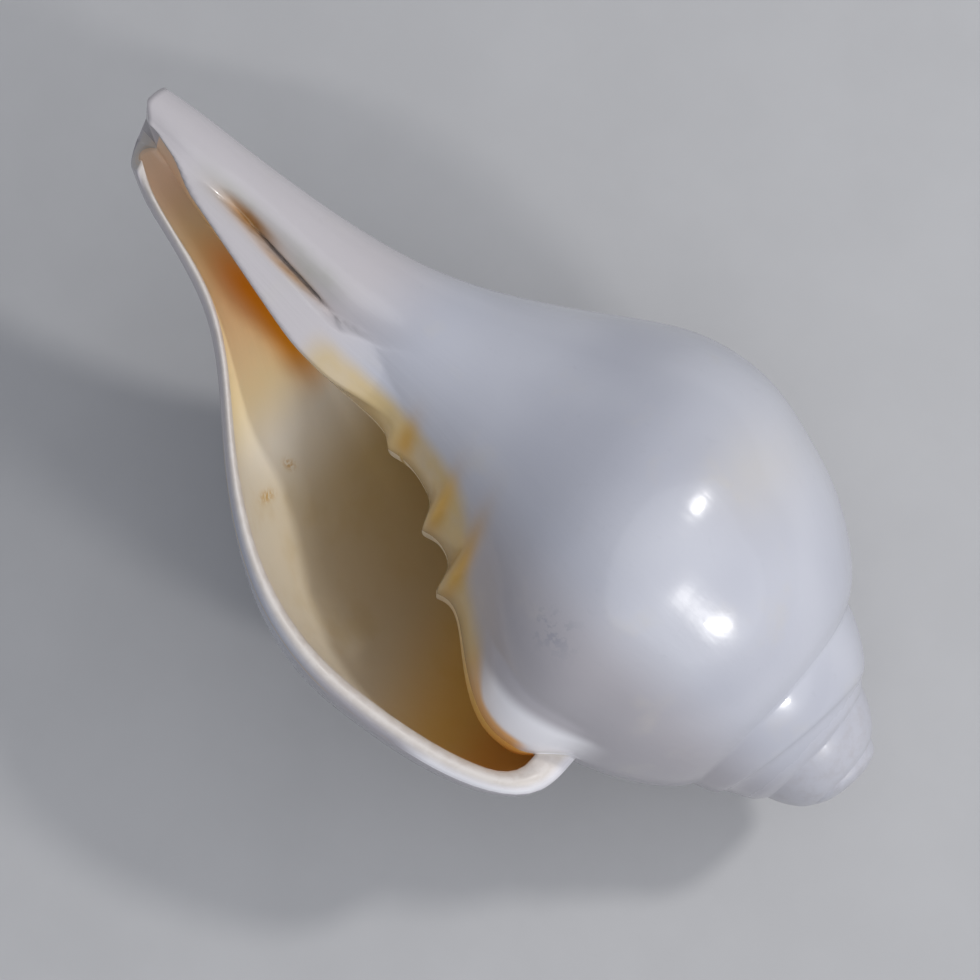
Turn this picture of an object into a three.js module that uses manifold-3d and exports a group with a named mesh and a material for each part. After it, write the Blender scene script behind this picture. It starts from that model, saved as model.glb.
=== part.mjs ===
// Sacred chank shell, lying on its back with its mouth up. Millimetres, +Z up.
// The shell is one closed solid: a coiled wall whose outline grows by the same ratio every turn.
// It is worked out standing on its canal, apex up, and then laid down on its flat spot.
import * as THREE from "three";
import { mergeVertices } from "three/addons/utils/BufferGeometryUtils.js";
import Module from "manifold-3d";

// Growth of the coil
const GROWTH = 1.63; // size of one turn over the turn before it
const APEX = 137.3; // height of the point that the coil shrinks towards
const LIP_ANGLE = THREE.MathUtils.degToRad(-20); // from the right side towards the mouth
const SPIRE_TURNS = 5; // turns drawn from the lip to the apex
const WORN_FROM = 3; // turn where the coil starts to vanish into the worn apex
const WORN_TO = 4; // turn where it has vanished
const DOME_TOP = 130.4; // height of the worn apex
const DOME_DROP = 0.00117; // how fast the dome falls away with its radius
const DOME_POWER = 3.7;
const DOME_FROM = 1.3; // turn where the worn dome begins
const DOME_EASE = 0.5;
const SPIRE_LEAN = 0.1; // whorls sit lower on the mouth side by this much of their distance
const LEAN_FROM = 55; // height where the lean begins
const LEAN_TO = 95; // height where it is full

// Outline stations from the seam down to the canal's end: [radius, drop below the apex point], at
// the size of the lip. The first seven keep their shape on every turn.
const SHOULDER = [
  [27.4, 36.8],
  [31.0, 41.3],
  [34.2, 46.2],
  [36.6, 51.0],
  [38.4, 55.8],
  [40.4, 62.5],
];
// The lower ones change over the last turn, so each is [radius, height] at the lip, half a turn
// back and a whole turn back, where it is the pillar inside the mouth.
const BASE = [
  [[40.6, 67.3], [33.6, 80.9], [27.0, 93.0]],
  [[38.4, 55.5], [31.6, 71.0], [23.3, 82.0]],
  [[30.2, 43.0], [23.8, 62.0], [15.9, 72.4]],
  [[20.0, 33.0], [14.5, 48.0], [9.0, 60.0]],
  [[14.0, 25.5], [10.1, 36.0], [8.2, 45.0]],
  [[11.2, 18.0], [7.9, 24.5], [7.2, 28.0]],
  [[9.6, 12.5], [6.6, 14.5], [6.2, 16.0]],
  [[8.5, 8.6], [5.9, 6.0], [5.0, 7.0]],
  [[6.3, 5.2], [4.9, 0.3], [3.6, 0.8]],
];
// How soon past the lip a station takes up the coil's growth again, from station ten down
const EASE_ROW = 10;
const EASE = [0.12, 0.3, 1, 5, 5, 5];
// The lip swells out at the shoulder over the last third of a turn: [radius, drop] added
const LIP_SWELL = [[3.0, -3.2], [3.8, -3.4], [3.4, -2.0], [2.4, -0.6], [1.4, 0.3]];
const SWELL_TURN = 0.3;

// Mouth and chamber
const SEAM_ROW = 5; // station where the next turn's seam lies
const CORNER_ROW = 6; // station of the inside corner at the top of the mouth
const CHAMBER_TURNS = 2; // how far the chamber is open
const CANAL_TURN = 7 / 32; // width of the open canal at its end
const CANAL_REACH = 0.06; // how fast the canal's floor runs back into the chamber
const CHAMBER_ROW = 10.3; // station that the chamber's lower side runs along
const WALL = 3.0; // wall thickness at the lip
const CANAL_WALL = 1.7; // wall thickness along the canal
const CANAL_WALL_ROW = 10; // station where the wall starts to thin, over three stations
const LEAST_OPEN = 0.1; // least share of a gap that stays open where the walls come close
const TOP_ROUND = 0.14; // share of the section over which the chamber's top corner is round
const FLOOR_ROUND = 0.12; // turns over which its floor is round
const ROUNDNESS = 0.6;
const END_ROW = 13.4; // station below which the canal's end is shaped
const END_DIP = 1.0; // how far its rim reaches further down on the back
const END_DIP_TURN = 0.27;
const END_DIP_WIDTH = 0.15;
const END_LIFT = 2.2; // how far the strip's corner is cut back
const END_LIFT_FROM = 0.72;
const END_LIFT_TO = 0.83;
const RIM_BULGE = 1.3; // how far the rounded rim stands out
const FOOT_HEIGHT = 1.0; // height of the pillar's foot

// Pillar along the canal: a flat inner lip with a straight edge beside the gutter
const EDGE_FOOT = 0.6; // distance of the edge from the axis at the canal's end
const EDGE_SLOPE = 0.22; // and how much more for each mm of height
const EDGE_IN = 1.0; // how much nearer it is at the canal's end
const EDGE_IN_TO = 13; // up to this height, over the last few mm
const EDGE_LEAST = 0.35;
const EDGE_MOST = 8.6;
const EDGE_ROUND = 0.35; // size of the rounding at the edge
const GUTTER_END = 1.1; // turn where the pillar starts to take up the coil's radius again
const STRIP_DEPTH = 4.9; // how far the flat strip stands in front of the axis at the canal's end
const STRIP_SLOPE = 0.11; // and how much more for each mm of height
const STRIP_TOP = 38; // height where it stops leaning forwards
const STRIP_EASE = 3; // size of the bend there
const STRIP_FROM = 0.68; // turn where the strip begins
const STRIP_RISE = 0.06; // and the turns it takes
const WIDEST = 1.2; // widest angle from the front at which the strip's plane is followed
const PILLAR_TOP = 55; // height where strip and gutter have faded into the coil
const PILLAR_FADE = 14;

// The strip's free margin: its distance from the axis plane, in mm to the mouth's side
const MARGIN_FOOT = 1.1;
const MARGIN_LOW = 16.5; // height from which it runs outwards
const MARGIN_SLOPE = 0.088;
const MARGIN_BACK = 0.468; // it turns back above the strip's top
const MARGIN_WIDTH = 1.6; // width of the step down from the margin
const MARGIN_SOFT = 3; // and how much wider it is at the canal's end

// The hollow and the slit in the pillar's front, left of the margin
const HOLLOW_DEPTH = 1.3;
const HOLLOW_WIDTH = 3.2;
const HOLLOW_FOOT = 12; // height where the hollow begins
const HOLLOW_LOW = 22; // height from which it is full
const HOLLOW_HIGH = 38; // height up to which it is full
const SLIT_DEPTH = 1.6;
const SLIT_WIDTH = 1.2;
const SLIT_HEIGHT = 24; // height of the slit's middle
const SLIT_REACH = 9; // half its length

// Callus on the whorl beside the mouth's upper corner
const CALLUS = 2.7; // thickness
const CALLUS_LOW = 74; // height where it begins
const CALLUS_FULL = 93; // height where it is full
const CALLUS_HIGH = 103; // height where it has ended, over the last few mm
const CALLUS_TOP = 6;
const CALLUS_FROM = 0.938; // turn where it begins, on the front
const CALLUS_RISE = 0.045; // it rises as a flat face up to an edge
const CALLUS_TO = 1.35; // turn where it ends, inside the mouth
const CALLUS_FADE = 0.25;

// The shell lies on a flat spot on its back
const ROLL = THREE.MathUtils.degToRad(5); // the spot is turned from the back towards the lip
const PITCH = THREE.MathUtils.degToRad(13); // and towards the apex
const SPOT_DEPTH = 0.75; // how much of the round back the flat spot takes away

// Folds on the pillar: [station, height, width above the crest, width below it]
const FOLDS = [
  [8.9, 3.6, 0.26, 0.07],
  [9.55, 3.1, 0.24, 0.07],
  [10.35, 1.4, 0.18, 0.08],
];
const FOLD_POINT = 1.2; // 1 is a sharp crest, 2 a round one
const FOLD_FROM = 0.88; // turn where the folds begin to rise

// How finely the surface is drawn
const TURN = 32; // columns in a turn
const CLOSE_FROM = 25; // column from which they are twice as close
const BAND_ROWS = [0, 0.3, 0.8, 1.6, 2.6, 3.8, 5];
const EDGE_ROWS = [5.33, 5.67, 6];
const FOLD_ROWS = [8.4, 8.7, 8.9, 9, 9.25, 9.55, 9.65, 9.95, 10.35, 10.5];
const BODY_ROWS = [6.6, 7.3, 8, ...FOLD_ROWS, 11, 11.7, 12.5, 13.3, 14.2, 15];

const mix = (a, b, w) => a + (b - a) * w;
const clamp = (v) => Math.min(1, Math.max(0, v));
const smooth = (v) => clamp(v) ** 2 * (3 - 2 * clamp(v));
const softMin = (a, b, round) => 0.5 * (a + b - Math.sqrt((a - b) ** 2 + round ** 2));
const softMax = (a, b, round) => -softMin(-a, -b, round);
const mixPoint = (a, b, w) => a.clone().lerp(b, w);
const hump = (v) => Math.exp(-(v ** 2));

const logGrowth = Math.log(GROWTH);

// Quadratic through three values at 0, a half and 1, which eases to a constant past 1
function over(values, turn, ease) {
  const [a, b, c] = values;
  const bend = 2 * (a - 2 * b + c);
  const slope = 4 * b - 3 * a - c;
  if (turn <= 1) return a + slope * turn + bend * turn * turn;
  const past = turn - 1;
  return c + (slope + 2 * bend) * past * Math.exp(-past / ease);
}

// Station k at a turn, in lip size: radius and drop below the apex point
function station(k, turn) {
  const lip = smooth(1 - turn / SWELL_TURN);
  if (k > SHOULDER.length) {
    const places = BASE[k - SHOULDER.length - 1];
    const radius = places.map(([r], i) => Math.log(r) + (i / 2) * logGrowth);
    const drop = places.map(([, z], i) => Math.log(APEX - z) + (i / 2) * logGrowth);
    const ease = EASE[Math.max(0, k - EASE_ROW)];
    return [Math.exp(over(radius, turn, ease)), Math.exp(over(drop, turn, ease))];
  }
  if (k === 0) {
    // The seam is the outline one turn on, at the seam row
    const [a, b, c] = [SHOULDER[3], SHOULDER[4], SHOULDER[5]];
    return [0, 1].map((i) => (a[i] + 4 * b[i] + c[i]) / 6 / GROWTH);
  }
  const [r, d] = SHOULDER[k - 1];
  const swell = LIP_SWELL[k - 1] ?? [0, 0];
  return [r + swell[0] * lip, d + swell[1] * lip];
}

const LAST = SHOULDER.length + BASE.length;

// The outline between the stations, as a uniform cubic B-spline
function outline(row, turn) {
  const k = Math.min(LAST - 1, Math.floor(row));
  const w = row - k;
  const weights = [(1 - w) ** 3, 3 * w ** 3 - 6 * w ** 2 + 4, -3 * w ** 3 + 3 * w ** 2 + 3 * w + 1, w ** 3];
  const at = (i) => {
    if (i < 0) return [0, 1].map((n) => 2 * station(0, turn)[n] - station(1, turn)[n]);
    if (i > LAST) return [0, 1].map((n) => 2 * station(LAST, turn)[n] - station(LAST - 1, turn)[n]);
    return station(i, turn);
  };
  const sum = [0, 0];
  weights.forEach((weight, i) => {
    const [r, d] = at(k - 1 + i);
    sum[0] += (weight * r) / 6;
    sum[1] += (weight * d) / 6;
  });
  return sum;
}

// A fold's cross-section: a slow rise above the crest and a steep drop below it
function foldHeight(row, turn) {
  let height = 0;
  for (const [crest, size, above, below] of FOLDS) {
    const off = row - crest;
    height += size * Math.exp(-(Math.abs(off / (off < 0 ? above : below)) ** FOLD_POINT));
  }
  return height * smooth((turn - FOLD_FROM) / (1 - FOLD_FROM));
}

// The callus's thickness: a flat face that rises to an edge at the mouth, and fades inside it
function callus(turn, height) {
  const up = smooth((height - CALLUS_LOW) / (CALLUS_FULL - CALLUS_LOW));
  const along = up * smooth((CALLUS_HIGH - height) / CALLUS_TOP);
  const face = clamp((turn - CALLUS_FROM) / CALLUS_RISE);
  return CALLUS * along * face * smooth((CALLUS_TO - turn) / CALLUS_FADE);
}

// The pillar's radius where the flat strip, its margin and the gutter shape it
function pillarRadius(turn, height, radius) {
  const side = LIP_ANGLE + 2 * Math.PI * (turn - 1);
  const facing = Math.min(WIDEST, Math.max(-WIDEST, side + Math.PI / 2));
  const plane = STRIP_DEPTH + STRIP_SLOPE * softMin(height, STRIP_TOP, STRIP_EASE);
  const outwards = MARGIN_SLOPE * Math.max(0, height - MARGIN_LOW);
  const margin = MARGIN_FOOT + outwards - MARGIN_BACK * Math.max(0, height - STRIP_TOP);
  const past = plane * Math.tan(facing) - margin;
  const width = MARGIN_WIDTH + MARGIN_SOFT * smooth((MARGIN_LOW - height) / 6);
  const lift = Math.max(0, plane / Math.cos(facing) - radius) * smooth(past / width + 0.5);
  const opens = smooth((height - HOLLOW_FOOT) / (HOLLOW_LOW - HOLLOW_FOOT));
  const hollow = HOLLOW_DEPTH * opens * smooth((HOLLOW_HIGH + 12 - height) / 12);
  const slit = SLIT_DEPTH * hump((height - SLIT_HEIGHT) / SLIT_REACH);
  const sunk = hollow * hump(past / HOLLOW_WIDTH) + slit * hump(past / SLIT_WIDTH + 0.8);
  const begun = smooth((turn - STRIP_FROM) / STRIP_RISE);
  const front = radius + begun * (lift - sunk * smooth(0.5 - past / width));
  const inwards = EDGE_IN * smooth((EDGE_IN_TO - height) / 6);
  const line = Math.max(EDGE_LEAST, EDGE_FOOT + EDGE_SLOPE * height - inwards);
  const edge = softMin(line, EDGE_MOST, EDGE_ROUND);
  const gutter = edge / Math.max(0.02, Math.cos(side));
  const pillar = softMin(front, gutter, EDGE_ROUND);
  return mix(pillar, radius, smooth((turn - GUTTER_END) / (1 + CANAL_TURN - GUTTER_END)));
}

// How far the canal's end is raised, which rounds it from the lip to the strip's corner
function endLift(row, turn) {
  const dip = END_DIP * hump((turn - END_DIP_TURN) / END_DIP_WIDTH);
  const lift = END_LIFT * smooth((turn - END_LIFT_FROM) / (END_LIFT_TO - END_LIFT_FROM));
  return (lift - dip) * smooth((row - END_ROW) / (LAST - END_ROW));
}

// The shell's surface at a turn back from the lip and an outline row
function coil(turn, row) {
  const shrink = GROWTH ** -turn;
  const angle = LIP_ANGLE + 2 * Math.PI * turn;
  let [radius, drop] = outline(row, turn);
  radius *= shrink;
  let height = APEX - drop * shrink;
  if (row <= SEAM_ROW) {
    const age = turn - row / SEAM_ROW;
    const left = clamp((WORN_TO - age) / (WORN_TO - WORN_FROM));
    radius *= left;
    const dome = softMin(height, DOME_TOP - DOME_DROP * radius ** DOME_POWER, 0.6);
    height = mix(DOME_TOP, mix(height, dome, smooth((age - DOME_FROM) / DOME_EASE)), left);
  } else {
    height += endLift(row, turn);
    radius += foldHeight(row, turn) + callus(turn, height);
    const share = smooth((PILLAR_TOP - height) / PILLAR_FADE);
    if (turn > STRIP_FROM && share > 0) radius = mix(radius, pillarRadius(turn, height, radius), share);
  }
  const x = radius * Math.cos(angle);
  const lean = SPIRE_LEAN * smooth((height - LEAN_FROM) / (LEAN_TO - LEAN_FROM));
  return new THREE.Vector3(x, radius * Math.sin(angle), height - lean * x);
}

// The chamber's lower side: the station where its two walls meet
function floorRow(turn) {
  const past = Math.max(0, turn - CANAL_TURN) / CANAL_REACH;
  return (LAST + CHAMBER_ROW * past) / (1 + past);
}

// The turn at which the two walls meet along a row
function floorTurn(row) {
  return CANAL_TURN + (CANAL_REACH * (LAST - row)) / Math.max(1e-3, row - CHAMBER_ROW);
}

// How far a corner of the chamber has opened, at a share of the way across its rounding
function rounded(share) {
  return (1 - (1 - clamp(share)) ** 2) ** ROUNDNESS;
}

// The wall's inner face: a share of the way from the turn inside to the turn outside
function lining(turn, share) {
  const last = floorRow(turn);
  const outer = coil(turn, last * share);
  const inner = coil(turn + 1, mix(CORNER_ROW, last, share));
  const gap = outer.distanceTo(inner);
  const thin = smooth((last * share - CANAL_WALL_ROW) / 3);
  const wall = mix(WALL, CANAL_WALL, thin) * GROWTH ** -turn;
  const top = rounded(share / TOP_ROUND);
  const low = rounded((floorTurn(last * share) - turn) / FLOOR_ROUND);
  return inner.lerp(outer, Math.max(LEAST_OPEN, 1 - wall / gap) * top * low);
}

// The rim of the lip, rounded towards the mouth
function rim(row, across) {
  const edge = mixPoint(coil(0, row), lining(0, row / LAST), across);
  const root = coil(1, mix(SEAM_ROW, CORNER_ROW, across));
  const flat = mixPoint(coil(0, 0), lining(0, 0), across);
  edge.add(root.sub(flat).multiplyScalar(clamp(1 - row)));
  const bulge = RIM_BULGE * Math.sin(Math.PI * across) * smooth(row) * smooth((LAST - row) / 1.5);
  edge.x += bulge * Math.sin(LIP_ANGLE);
  edge.y -= bulge * Math.cos(LIP_ANGLE);
  return edge;
}

// The canal's end: a strip along the outline's last row, then a disc over the pillar's foot
const foot = new THREE.Vector3(0, 0, FOOT_HEIGHT);
function footEdge(turn) {
  if (turn <= CANAL_TURN) return lining(turn, 1);
  const start = coil(1 + CANAL_TURN, LAST).distanceTo(foot) / coil(CANAL_TURN, LAST).distanceTo(foot);
  return mixPoint(foot, coil(turn, LAST), mix(start, 1, turn - CANAL_TURN));
}

// Collects grids of points as triangles
const corners = [];
function grid(columns, rows, point, flip = false) {
  const points = columns.map((c) => rows.map((r) => point(c, r)));
  for (let i = 0; i + 1 < columns.length; i++)
    for (let j = 0; j + 1 < rows.length; j++) {
      const [a, b, c, d] = [points[i][j], points[i + 1][j], points[i + 1][j + 1], points[i][j + 1]];
      corners.push(...(flip ? [a, b, c, a, c, d] : [a, c, b, a, d, c]));
    }
}
function turns(from, to, steps = TURN) {
  return Array.from({ length: Math.round((to - from) * steps) + 1 }, (_, i) => from + i / steps);
}

// Extra columns on each turn where the flat strip and the slit beside it lie
function columns(from, to) {
  const extra = turns(from, to).filter((t) => t < to && (t % 1) * TURN >= CLOSE_FROM);
  return [...turns(from, to), ...extra.map((t) => t + 0.5 / TURN)].sort((a, b) => a - b);
}

const allRows = [...BAND_ROWS, ...EDGE_ROWS, ...BODY_ROWS];
const innerRows = [CORNER_ROW, ...BODY_ROWS];
const across = [0, ...EDGE_ROWS.map((r) => r - SEAM_ROW)];
const shares = allRows.map((r) => r / LAST);
const insideRow = (turn, row) => {
  return mix(CORNER_ROW, floorRow(turn - 1), (row - CORNER_ROW) / (LAST - CORNER_ROW));
};

grid(columns(0, 1), allRows, coil);
grid(columns(1, SPIRE_TURNS), BAND_ROWS, coil);
const depths = [...turns(0, 1), ...turns(1, CHAMBER_TURNS, TURN / 2).slice(1)];
grid(depths, innerRows, (t, r) => coil(1 + t, insideRow(1 + t, r)));
grid(depths, shares, lining, true);
grid(across, allRows, (a, r) => rim(r, a), true);
grid(columns(0, 1 + CANAL_TURN), across, (t, a) => mixPoint(coil(t, LAST), footEdge(t), a));
grid(columns(CANAL_TURN, 1 + CANAL_TURN), [0, 0.5, 1], (t, a) => mixPoint(footEdge(t), foot, a));
const back = mixPoint(lining(CHAMBER_TURNS, 0.5), coil(1 + CHAMBER_TURNS, 8), 0.5);
grid([0, 1], shares, (a, s) => mixPoint(lining(CHAMBER_TURNS, s), back, a), true);
grid([0, 1], innerRows, (a, r) =>
  mixPoint(coil(1 + CHAMBER_TURNS, insideRow(1 + CHAMBER_TURNS, r)), back, a),
);

// Welds the grids into one closed surface
function weld(points) {
  const loose = new THREE.BufferGeometry().setFromPoints(points);
  const joined = mergeVertices(loose, 1e-3);
  const index = joined.index.array;
  const kept = [];
  for (let i = 0; i < index.length; i += 3) {
    const [a, b, c] = index.slice(i, i + 3);
    if (a !== b && b !== c && c !== a) kept.push(a, b, c);
  }
  joined.setIndex(kept);
  joined.computeVertexNormals();
  return joined;
}

// Turns the standing shell so that its flat spot faces down and its length runs along X
function layDown(geometry) {
  const across = Math.cos(PITCH);
  const up = new THREE.Vector3(-Math.sin(ROLL) * across, -Math.cos(ROLL) * across, -Math.sin(PITCH));
  const ahead = new THREE.Vector3(0, 0, 1).projectOnPlane(up).normalize();
  const side = up.clone().cross(ahead);
  geometry.applyMatrix4(new THREE.Matrix4().makeBasis(ahead, side, up).transpose());
  geometry.computeBoundingBox();
  const { min, max } = geometry.boundingBox;
  geometry.translate(-(min.x + max.x) / 2, -(min.y + max.y) / 2, -min.z - SPOT_DEPTH);
  return geometry;
}

const wasm = await Module();
wasm.setup();
function solid(geometry) {
  return new wasm.Manifold(
    new wasm.Mesh({
      numProp: 3,
      vertProperties: new Float32Array(geometry.attributes.position.array),
      triVerts: new Uint32Array(geometry.index.array),
    }),
  );
}

// Cuts away what lies below the resting plane
function cutFlat(geometry) {
  const below = new THREE.BoxGeometry(200, 200, 20).translate(0, 0, -10);
  below.deleteAttribute("normal");
  below.deleteAttribute("uv");
  const mesh = solid(geometry).subtract(solid(mergeVertices(below))).getMesh();
  const cut = new THREE.BufferGeometry();
  cut.setAttribute("position", new THREE.BufferAttribute(mesh.vertProperties, 3));
  cut.setIndex(new THREE.BufferAttribute(mesh.triVerts, 1));
  cut.computeVertexNormals();
  return cut;
}

const material = new THREE.MeshStandardMaterial({ color: 0xdcdbe4, roughness: 0.25, metalness: 0 });
const shell = new THREE.Mesh(cutFlat(layDown(weld(corners))), material);
shell.name = "shell";

const part = new THREE.Group();
part.name = "chank_shell";
part.add(shell);
export default part;
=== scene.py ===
"""Sacred chank shell lying mouth up: the shell, its finish, and a studio stage.

The shell is one coiled surface. Its outline is drawn here between a few stations, and a node
tree winds it round the axis, shrinking it by the same ratio every turn.
"""

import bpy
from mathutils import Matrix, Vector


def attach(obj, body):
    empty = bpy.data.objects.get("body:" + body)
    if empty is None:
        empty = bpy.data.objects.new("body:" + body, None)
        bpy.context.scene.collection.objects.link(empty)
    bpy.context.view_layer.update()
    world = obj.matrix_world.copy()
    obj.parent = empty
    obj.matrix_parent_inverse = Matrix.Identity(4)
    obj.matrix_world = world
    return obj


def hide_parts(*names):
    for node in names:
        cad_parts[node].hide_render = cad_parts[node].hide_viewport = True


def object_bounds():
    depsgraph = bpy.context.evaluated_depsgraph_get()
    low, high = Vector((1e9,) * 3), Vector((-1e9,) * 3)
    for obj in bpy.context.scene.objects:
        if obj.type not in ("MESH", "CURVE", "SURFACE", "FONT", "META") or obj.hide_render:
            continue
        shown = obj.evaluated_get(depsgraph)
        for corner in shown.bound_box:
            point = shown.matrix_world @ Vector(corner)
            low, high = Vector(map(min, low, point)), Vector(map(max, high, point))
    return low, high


bl_info = {
    "name": "Chank Shell",
    "version": (1, 0, 0),
    "blender": (4, 5, 0),
    "location": "3D View > Sidebar > Shell",
    "description": "Grows a chank shell and sets a studio stage around it",
    "category": "Add Mesh",
}

import math

import bpy
import numpy as np
from bpy.props import FloatProperty, FloatVectorProperty, IntProperty, PointerProperty
from mathutils import Matrix, Vector

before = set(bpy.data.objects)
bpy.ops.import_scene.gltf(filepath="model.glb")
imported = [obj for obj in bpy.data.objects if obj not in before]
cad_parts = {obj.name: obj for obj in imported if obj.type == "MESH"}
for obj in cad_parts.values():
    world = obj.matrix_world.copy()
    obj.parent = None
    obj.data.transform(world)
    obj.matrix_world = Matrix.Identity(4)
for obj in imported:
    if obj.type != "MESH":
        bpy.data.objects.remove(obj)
CAD_BOX = [list(corner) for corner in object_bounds()]
MM = 0.001
TINY = 1e-6  # turns closer than this are the same
WELD = 0.01  # points closer than this, in mm, become one
LEAST_GAP = 0.001  # in mm, so that the wall is never divided by nothing
FAR = 10.0  # in metres, beyond any point of the shell

# Driving sizes, in mm on the shell that stands on its canal; the panel can change them
GROWTH = 1.63
APEX = 137.3
LIP_ANGLE = math.radians(-20)
LIP_WALL = 3.0
CANAL_WALL = 1.7
LIP_ROUND = 1.3
FOLD_HEIGHT = 1.0
WORN_TOP = 130.4

# Outline stations at the size of the lip, from the seam down to the canal's end.
# The first six keep their shape on every turn: radius, drop below the apex point.
SHOULDER = [(27.4, 36.8), (31.0, 41.3), (34.2, 46.2), (36.6, 51.0), (38.4, 55.8), (40.4, 62.5)]
# The others: radius and height at the lip, half a turn back and a whole turn back.
BASE = [
    [(40.6, 67.3), (33.6, 80.9), (27.0, 93.0)],
    [(38.4, 55.5), (31.6, 71.0), (23.3, 82.0)],
    [(30.2, 43.0), (23.8, 62.0), (15.9, 72.4)],
    [(20.0, 33.0), (14.5, 48.0), (9.0, 60.0)],
    [(14.0, 25.5), (10.1, 36.0), (8.2, 45.0)],
    [(11.2, 18.0), (7.9, 24.5), (7.2, 28.0)],
    [(9.6, 12.5), (6.6, 14.5), (6.2, 16.0)],
    [(8.5, 8.6), (5.9, 6.0), (5.0, 7.0)],
    [(6.3, 5.2), (4.9, 0.3), (3.6, 0.8)],
]
LIP_SWELL = [(3.0, -3.2), (3.8, -3.4), (3.4, -2.0), (2.4, -0.6), (1.4, 0.3)]
SWELL_TURN = 0.3
# How soon past the lip a station takes up the coil's growth again, from station ten down
EASE_ROW = 10
EASE = [0.12, 0.3, 1, 5, 5, 5]
LAST = len(SHOULDER) + len(BASE)

# The mouth and the chamber: rows are stations of the outline, turns run back from the lip
SEAM_ROW = 5
PAST_SEAM = SEAM_ROW + 0.0001
CORNER_ROW = 6
SPIRE_TURNS = 5
CHAMBER_TURNS = 2
CANAL_TURN = 7 / 32
CANAL_REACH = 0.06
CHAMBER_ROW = 10.3
THIN_ROWS = (10.0, 13.0)
LEAST_OPEN = 0.1
TOP_ROUND = 0.14
FLOOR_ROUND = 0.12
ROUNDNESS = 0.6
LINING_EASE = 0.012
FOOT_HEIGHT = 1.0
FOOT_START = 0.5
SOLE_ROWS = 4
BACK_ROW = 8
RIM_EASE = 1.5

# How far apart the rows are drawn from each station on, and where the columns are twice as close
BAND_STEPS = [(0, 0.06), (0.3, 0.12), (1.0, 0.3), (4.2, 0.2), SEAM_ROW]
EDGE_STEPS = [(SEAM_ROW, 0.125), CORNER_ROW]
BODY_STEPS = [(CORNER_ROW, 0.14), (8.2, 0.045), (10.7, 0.1), (12.2, 0.14), LAST]
FINE_TURNS = (0.76, 0.95)

# The canal's end: its rim reaches down on the back and is cut back at the strip's corner
END_ROW = 13.4
END_DIP = 1.0
END_DIP_TURN = 0.27
END_DIP_WIDTH = 0.15
END_LIFT_TURNS = (0.72, 0.83)

# The spire: a worn dome, and whorls that sit lower on the mouth's side
WORN_TURN = 4.0
GONE = 0.2
DOME_DROP = 0.00117
DOME_POWER = 3.7
DOME_ROUND = 0.6
DOME_TURNS = (1.3, 1.8)
LEAN_HEIGHTS = (55.0, 95.0)

# Folds on the pillar: station, height, width above the crest, width below it
FOLDS = [(8.9, 3.6, 0.26, 0.07), (9.55, 3.1, 0.24, 0.07), (10.35, 1.4, 0.18, 0.08)]
FOLD_POINT = 1.2
FOLD_TURNS = (0.88, 1.0)

# The callus beside the mouth's upper corner
CALLUS_TURN = 0.938
CALLUS_RISE = 0.045
CALLUS_FADE = (1.1, 1.35)
CALLUS_LOW = (74.0, 93.0)
CALLUS_HIGH = (97.0, 103.0)

# The pillar along the canal: a flat strip with a free margin, and the edge beside the gutter
EDGE_FOOT = 0.6
EDGE_SLOPE = 0.22
EDGE_IN_HEIGHTS = (7.0, 13.0)
EDGE_LEAST = 0.35
EDGE_MOST = 8.6
EDGE_BEND = 0.5
EDGE_ROUND = 0.35
GUTTER_END = 1.1
STRIP_SLOPE = 0.11
STRIP_TOP = 38.0
STRIP_EASE = 3.0
STRIP_TURNS = (0.68, 0.74)
WIDEST = 1.2
LEAST_COSINE = 0.02
PILLAR_FADE = (41.0, 55.0)
MARGIN_FOOT = 1.1
MARGIN_LOW = 16.5
MARGIN_SLOPE = 0.088
MARGIN_BACK = 0.468
MARGIN_NOTCH = 0.35
NOTCH_HEIGHTS = (37.7, 38.4)
MARGIN_WIDTH = 0.3
MARGIN_SOFT = 3.0
SOFT_HEIGHTS = (11.0, 17.0)

# The hollow, the slit and the pit in the pillar's front, left of the margin
HOLLOW_DEPTH = 1.3
HOLLOW_WIDTH = 3.2
HOLLOW_LOW = (12.0, 22.0)
HOLLOW_HIGH = (38.0, 50.0)
SLIT_PLACE = -0.45
SLIT_WIDTH = 0.3
SLIT_LOW = (20.0, 25.0)
SLIT_HIGH = (33.0, 36.0)
PIT_DEPTH = 1.6
PIT_PLACE = -0.9
PIT_WIDTH = 0.8
PIT_HEIGHT = 20.5
PIT_REACH = 3.2

# The stage: places of the standing shell are in mm, lamps stand away from it in metres
FLOOR_HALF = 3.0
CAMERA_AIM = (4.37, 0.0, 68.37)
CAMERA_TILT = math.radians(1.5)
CAMERA_UP = (-0.7254, 0.0, -0.6883)
SENSOR = 36.0
LAMP_AIM = (0, 0, 70)
LAMP_DISTANCE = 0.8
GLOW = (0.82, 0.86, 0.95, 1.0)
WHITE = (1.0, 0.985, 0.96)
SKY = (0.94, 0.96, 1.0)
# Lamps: name, way to it, way of its long side, length, width, power in watts, colour
LAMPS = [
    ("upper_lamp", (0.303, 0.604, 0.738), (0.294, 0.78, -0.552), 0.085, 0.085, 1.9, WHITE),
    ("side_lamp", (0.855, 0.03, 0.518), (0.294, 0.78, -0.552), 0.16, 0.03, 1.4, WHITE),
    ("soft_box", (0.505, 0.118, 0.852), (1.0, 0.0, 0.0), 1.5, 1.5, 4.2, SKY),
]

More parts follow.
